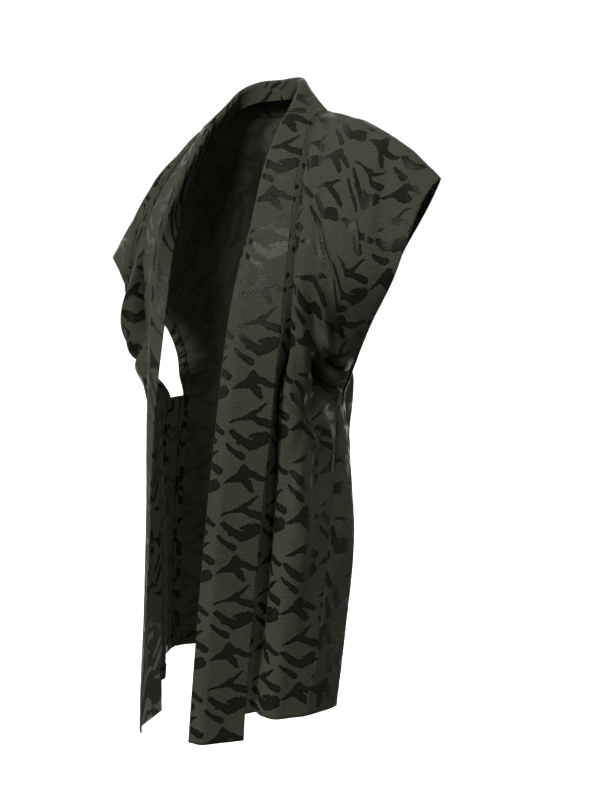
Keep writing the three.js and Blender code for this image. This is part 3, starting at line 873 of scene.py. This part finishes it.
def flipped(grid, uv):
    """A mirrored grid with its columns reversed, so that its outer face stays out."""
    return mirrored(grid)[:, ::-1], uv[:, ::-1] * (-1, 1)


def bias(uv, degrees, shift):
    """Cloth coordinates of a piece cut with its grain at an angle."""
    a = math.radians(degrees)
    turn = np.array([[math.cos(a), math.sin(a)], [-math.sin(a), math.cos(a)]])
    return uv @ turn + shift


# Where each piece lies on the loom's pattern, and the flat size and area of what shows, in metres.
BODY_SLIP = {"left": (2, -17), "right": (-30, 22)}
BODY_FLAT = (0.36, 1.83)
BODY_AREA = {"left": 0.40, "right": 0.36}
GUSSET_GRAIN = 32               # degrees that a gusset's grain lies off upright
GUSSET_SLIP = {"left": (40, 20), "right": (70, 60)}
GUSSET_FLAT = (0.08, 0.45)
GUSSET_AREA = 0.030

grid, uv = body_piece(LEFT_COLLAR, LEFT_BODY, LEFT_FOLDS, LEFT_CREASES,
                      SEEDS["body_left"])
place("body_left_cloth", "body_left", grid, uv + BODY_SLIP["left"], CLOTH_HALF,
      BODY_FLAT, area=BODY_AREA["left"])
grid, uv = body_piece(RIGHT_COLLAR, RIGHT_BODY, RIGHT_FOLDS, RIGHT_CREASES,
                      SEEDS["body_right"])
place("body_right_cloth", "body_right", *flipped(grid, uv + BODY_SLIP["right"]), CLOTH_HALF,
      BODY_FLAT, area=BODY_AREA["right"])
grid, uv = gusset_piece(LEFT_BODY, SEEDS["gusset_left"])
place("gusset_left_cloth", "gusset_left", grid, bias(uv, GUSSET_GRAIN, GUSSET_SLIP["left"]),
      CLOTH_HALF, GUSSET_FLAT, area=GUSSET_AREA)
grid, uv = gusset_piece(RIGHT_BODY, SEEDS["gusset_right"])
place("gusset_right_cloth", "gusset_right",
      *flipped(grid, bias(uv, GUSSET_GRAIN, GUSSET_SLIP["right"])),
      CLOTH_HALF, GUSSET_FLAT, area=GUSSET_AREA)


def band_half(collar, stop):
    """Surface grid of the band from its bottom end to the centre back, outer face in.

    It has a row at the cross seam's collar row, stop, and extra columns at both rounded edges.
    """
    at = rows_between(lambda f: (collar_frame(collar, f)[0],), 0, CENTRE_ROW)
    at = np.unique(np.concatenate([at[np.abs(at - stop) > SAME_ROW], [stop]]))
    share = np.linspace(0, 1, BAND_ACROSS + 1)
    share = np.unique(np.concatenate([share, BAND_EDGES]))[None, :]
    return at, band_points(collar, at, share)


def finish_band(grid, seed):
    """Ripples, rounded edges and cloth coordinates for the whole band."""
    u = along_rows(grid)
    v = along_columns(grid, 0)
    width = u[:, -1:]
    crest = np.exp(-((u - BAND_RIPPLE["crest"] * width) / BAND_RIPPLE["half"]) ** 2)
    wave = ripple(BAND_RIPPLE["slack"] * u, v, seed, BAND_RIPPLE)
    lift = BAND_RIPPLE["height"] * crest * wave
    near_seam = np.exp(-u / BAND_PUCKER["reach"])
    pucker = ripple(BAND_PUCKER["slack"] * u, v, seed + 1, BAND_PUCKER)
    lift += BAND_PUCKER["height"] * near_seam * pucker
    half = BAND_HALF * edge_share(u, BAND_HALF) * edge_share(width - u, BAND_HALF)
    return grid - square_out(grid) * lift[..., None], np.stack([u, v], 2), half


left_at, left_band = band_half(LEFT_COLLAR, CROSS_SEAM["left"])
right_at, right_band = band_half(RIGHT_COLLAR, CROSS_SEAM["right"])
band = np.concatenate([left_band, mirrored(right_band)[::-1][1:]])
end = len(band) - 1
left_join = int(np.argmin(np.abs(left_at - CROSS_SEAM["left"])))
right_join = end - int(np.argmin(np.abs(right_at - CROSS_SEAM["right"])))
band, band_uv, band_thick = finish_band(band, SEEDS["collar"])
# piece, node, first and last row, flat size, and where the length lies on the loom's pattern
for name, node, first, last, flat, slip in (
    ("collar_left_cloth", "collar_left", 0, left_join, (0.086, 0.93), (65, -50)),
    ("collar_back_cloth", "collar_back", left_join, right_join, (0.090, 0.29), (20, 47)),
    ("collar_right_cloth", "collar_right", right_join, end, (0.086, 0.95), (95, 80)),
):
    # the columns are reversed, so that the outer face is out
    grid, uv, half = (a[first:last + 1, ::-1] for a in (band, band_uv * (-1, 1), band_thick))
    place(name, node, grid, uv + slip, half, flat, inside=face)

# ---------- floor, light and camera ----------
bpy.context.scene.view_settings.view_transform = "Standard"
FLOOR_Z = -1.9
FLOOR_REACH = 14.0
corners = [(x * FLOOR_REACH, y * FLOOR_REACH, FLOOR_Z)
           for x, y in ((-1, -1), (1, -1), (1, 1), (-1, 1))]
mesh = bpy.data.meshes.new("floor")
mesh.from_pydata(corners, [], [(0, 1, 2, 3)])
floor = add_object("floor", mesh)
paper = bpy.data.materials.new("pale_floor")
paper.use_nodes = True
paper_shader = paper.node_tree.nodes["Principled BSDF"]
paper_shader.inputs["Base Color"].default_value = (0.86, 0.85, 0.83, 1)
paper_shader.inputs["Roughness"].default_value = 0.9
floor.data.materials.append(paper)
# the pale floor neither lights the dark cloth from below nor is mirrored in it
floor.visible_diffuse = False
floor.visible_glossy = False

world = bpy.data.worlds.new("studio")
bpy.context.scene.world = world
world.use_nodes = True
# a white wall stands on one side of the studio, and the room is dim on the other
WALL_WAY = (-0.62, 0.78, 0)
WALL_EDGE = (-0.10, 0.75)        # cosine of the angle to the wall where its light starts, is full
ROOM_LIGHT = (0.16, 1.05)        # strength on the dim side and at the wall
sky = Nodes(world.node_tree)
way = sky.add("ShaderNodeTexCoord").outputs["Generated"]
side_of_room = sky.vector("DOT_PRODUCT", way, WALL_WAY)
backdrop = world.node_tree.nodes["Background"]
backdrop.inputs["Color"].default_value = (1.0, 0.99, 0.97, 1)
sky.put(backdrop.inputs["Strength"], sky.remap(side_of_room, *WALL_EDGE, *ROOM_LIGHT))


def sun(name, way, strength, spread, shines=False):
    """A broad soft light along a direction. shines: whether the satin mirrors it."""
    lamp = bpy.data.lights.new(name, "SUN")
    lamp.energy = strength
    lamp.angle = math.radians(spread)
    lamp.color = (1.0, 0.99, 0.96)
    thing = add_object(name, lamp)
    thing.visible_glossy = shines
    tilt = math.atan2(math.hypot(way[0], way[1]), -way[2])
    thing.rotation_euler = (tilt, 0, math.atan2(way[1], way[0]) - math.pi / 2)


sun("key", (0.16, 0.73, -0.66), 4.0, 12)
sun("front", (-0.25, 0.83, -0.60), 1.75, 15, shines=True)
sun("side", (-0.9, 0.25, -0.3), 0.5, 40)
sun("back", (-0.15, -0.93, -0.35), 2.6, 40)

# what the clothes worn under the coat would throw back at the inside of its right front
lamp = bpy.data.lights.new("bounce", "AREA")
lamp.shape = "RECTANGLE"
lamp.size, lamp.size_y = 0.10, 0.70
lamp.energy = 0.36
bounce = add_object("bounce", lamp)
bounce.location = (0.03, -0.03, -0.55)
bounce.rotation_euler = (math.radians(90), 0, math.radians(135))
bounce.visible_camera = False
bounce.visible_glossy = False

# the photo's viewpoint: lens for a 36 mm sensor, place in metres, tilt and turn in degrees
LENS = 47.25
EYE = (1.0277, -1.2275, -0.174)
TILT, TURN = 81.34, 38.0
camera = bpy.data.cameras.new("camera")
camera.sensor_width = 36.0
camera.lens = LENS
eye = add_object("camera", camera)
eye.location = EYE
eye.rotation_euler = (math.radians(TILT), 0, math.radians(TURN))
bpy.context.scene.camera = eye
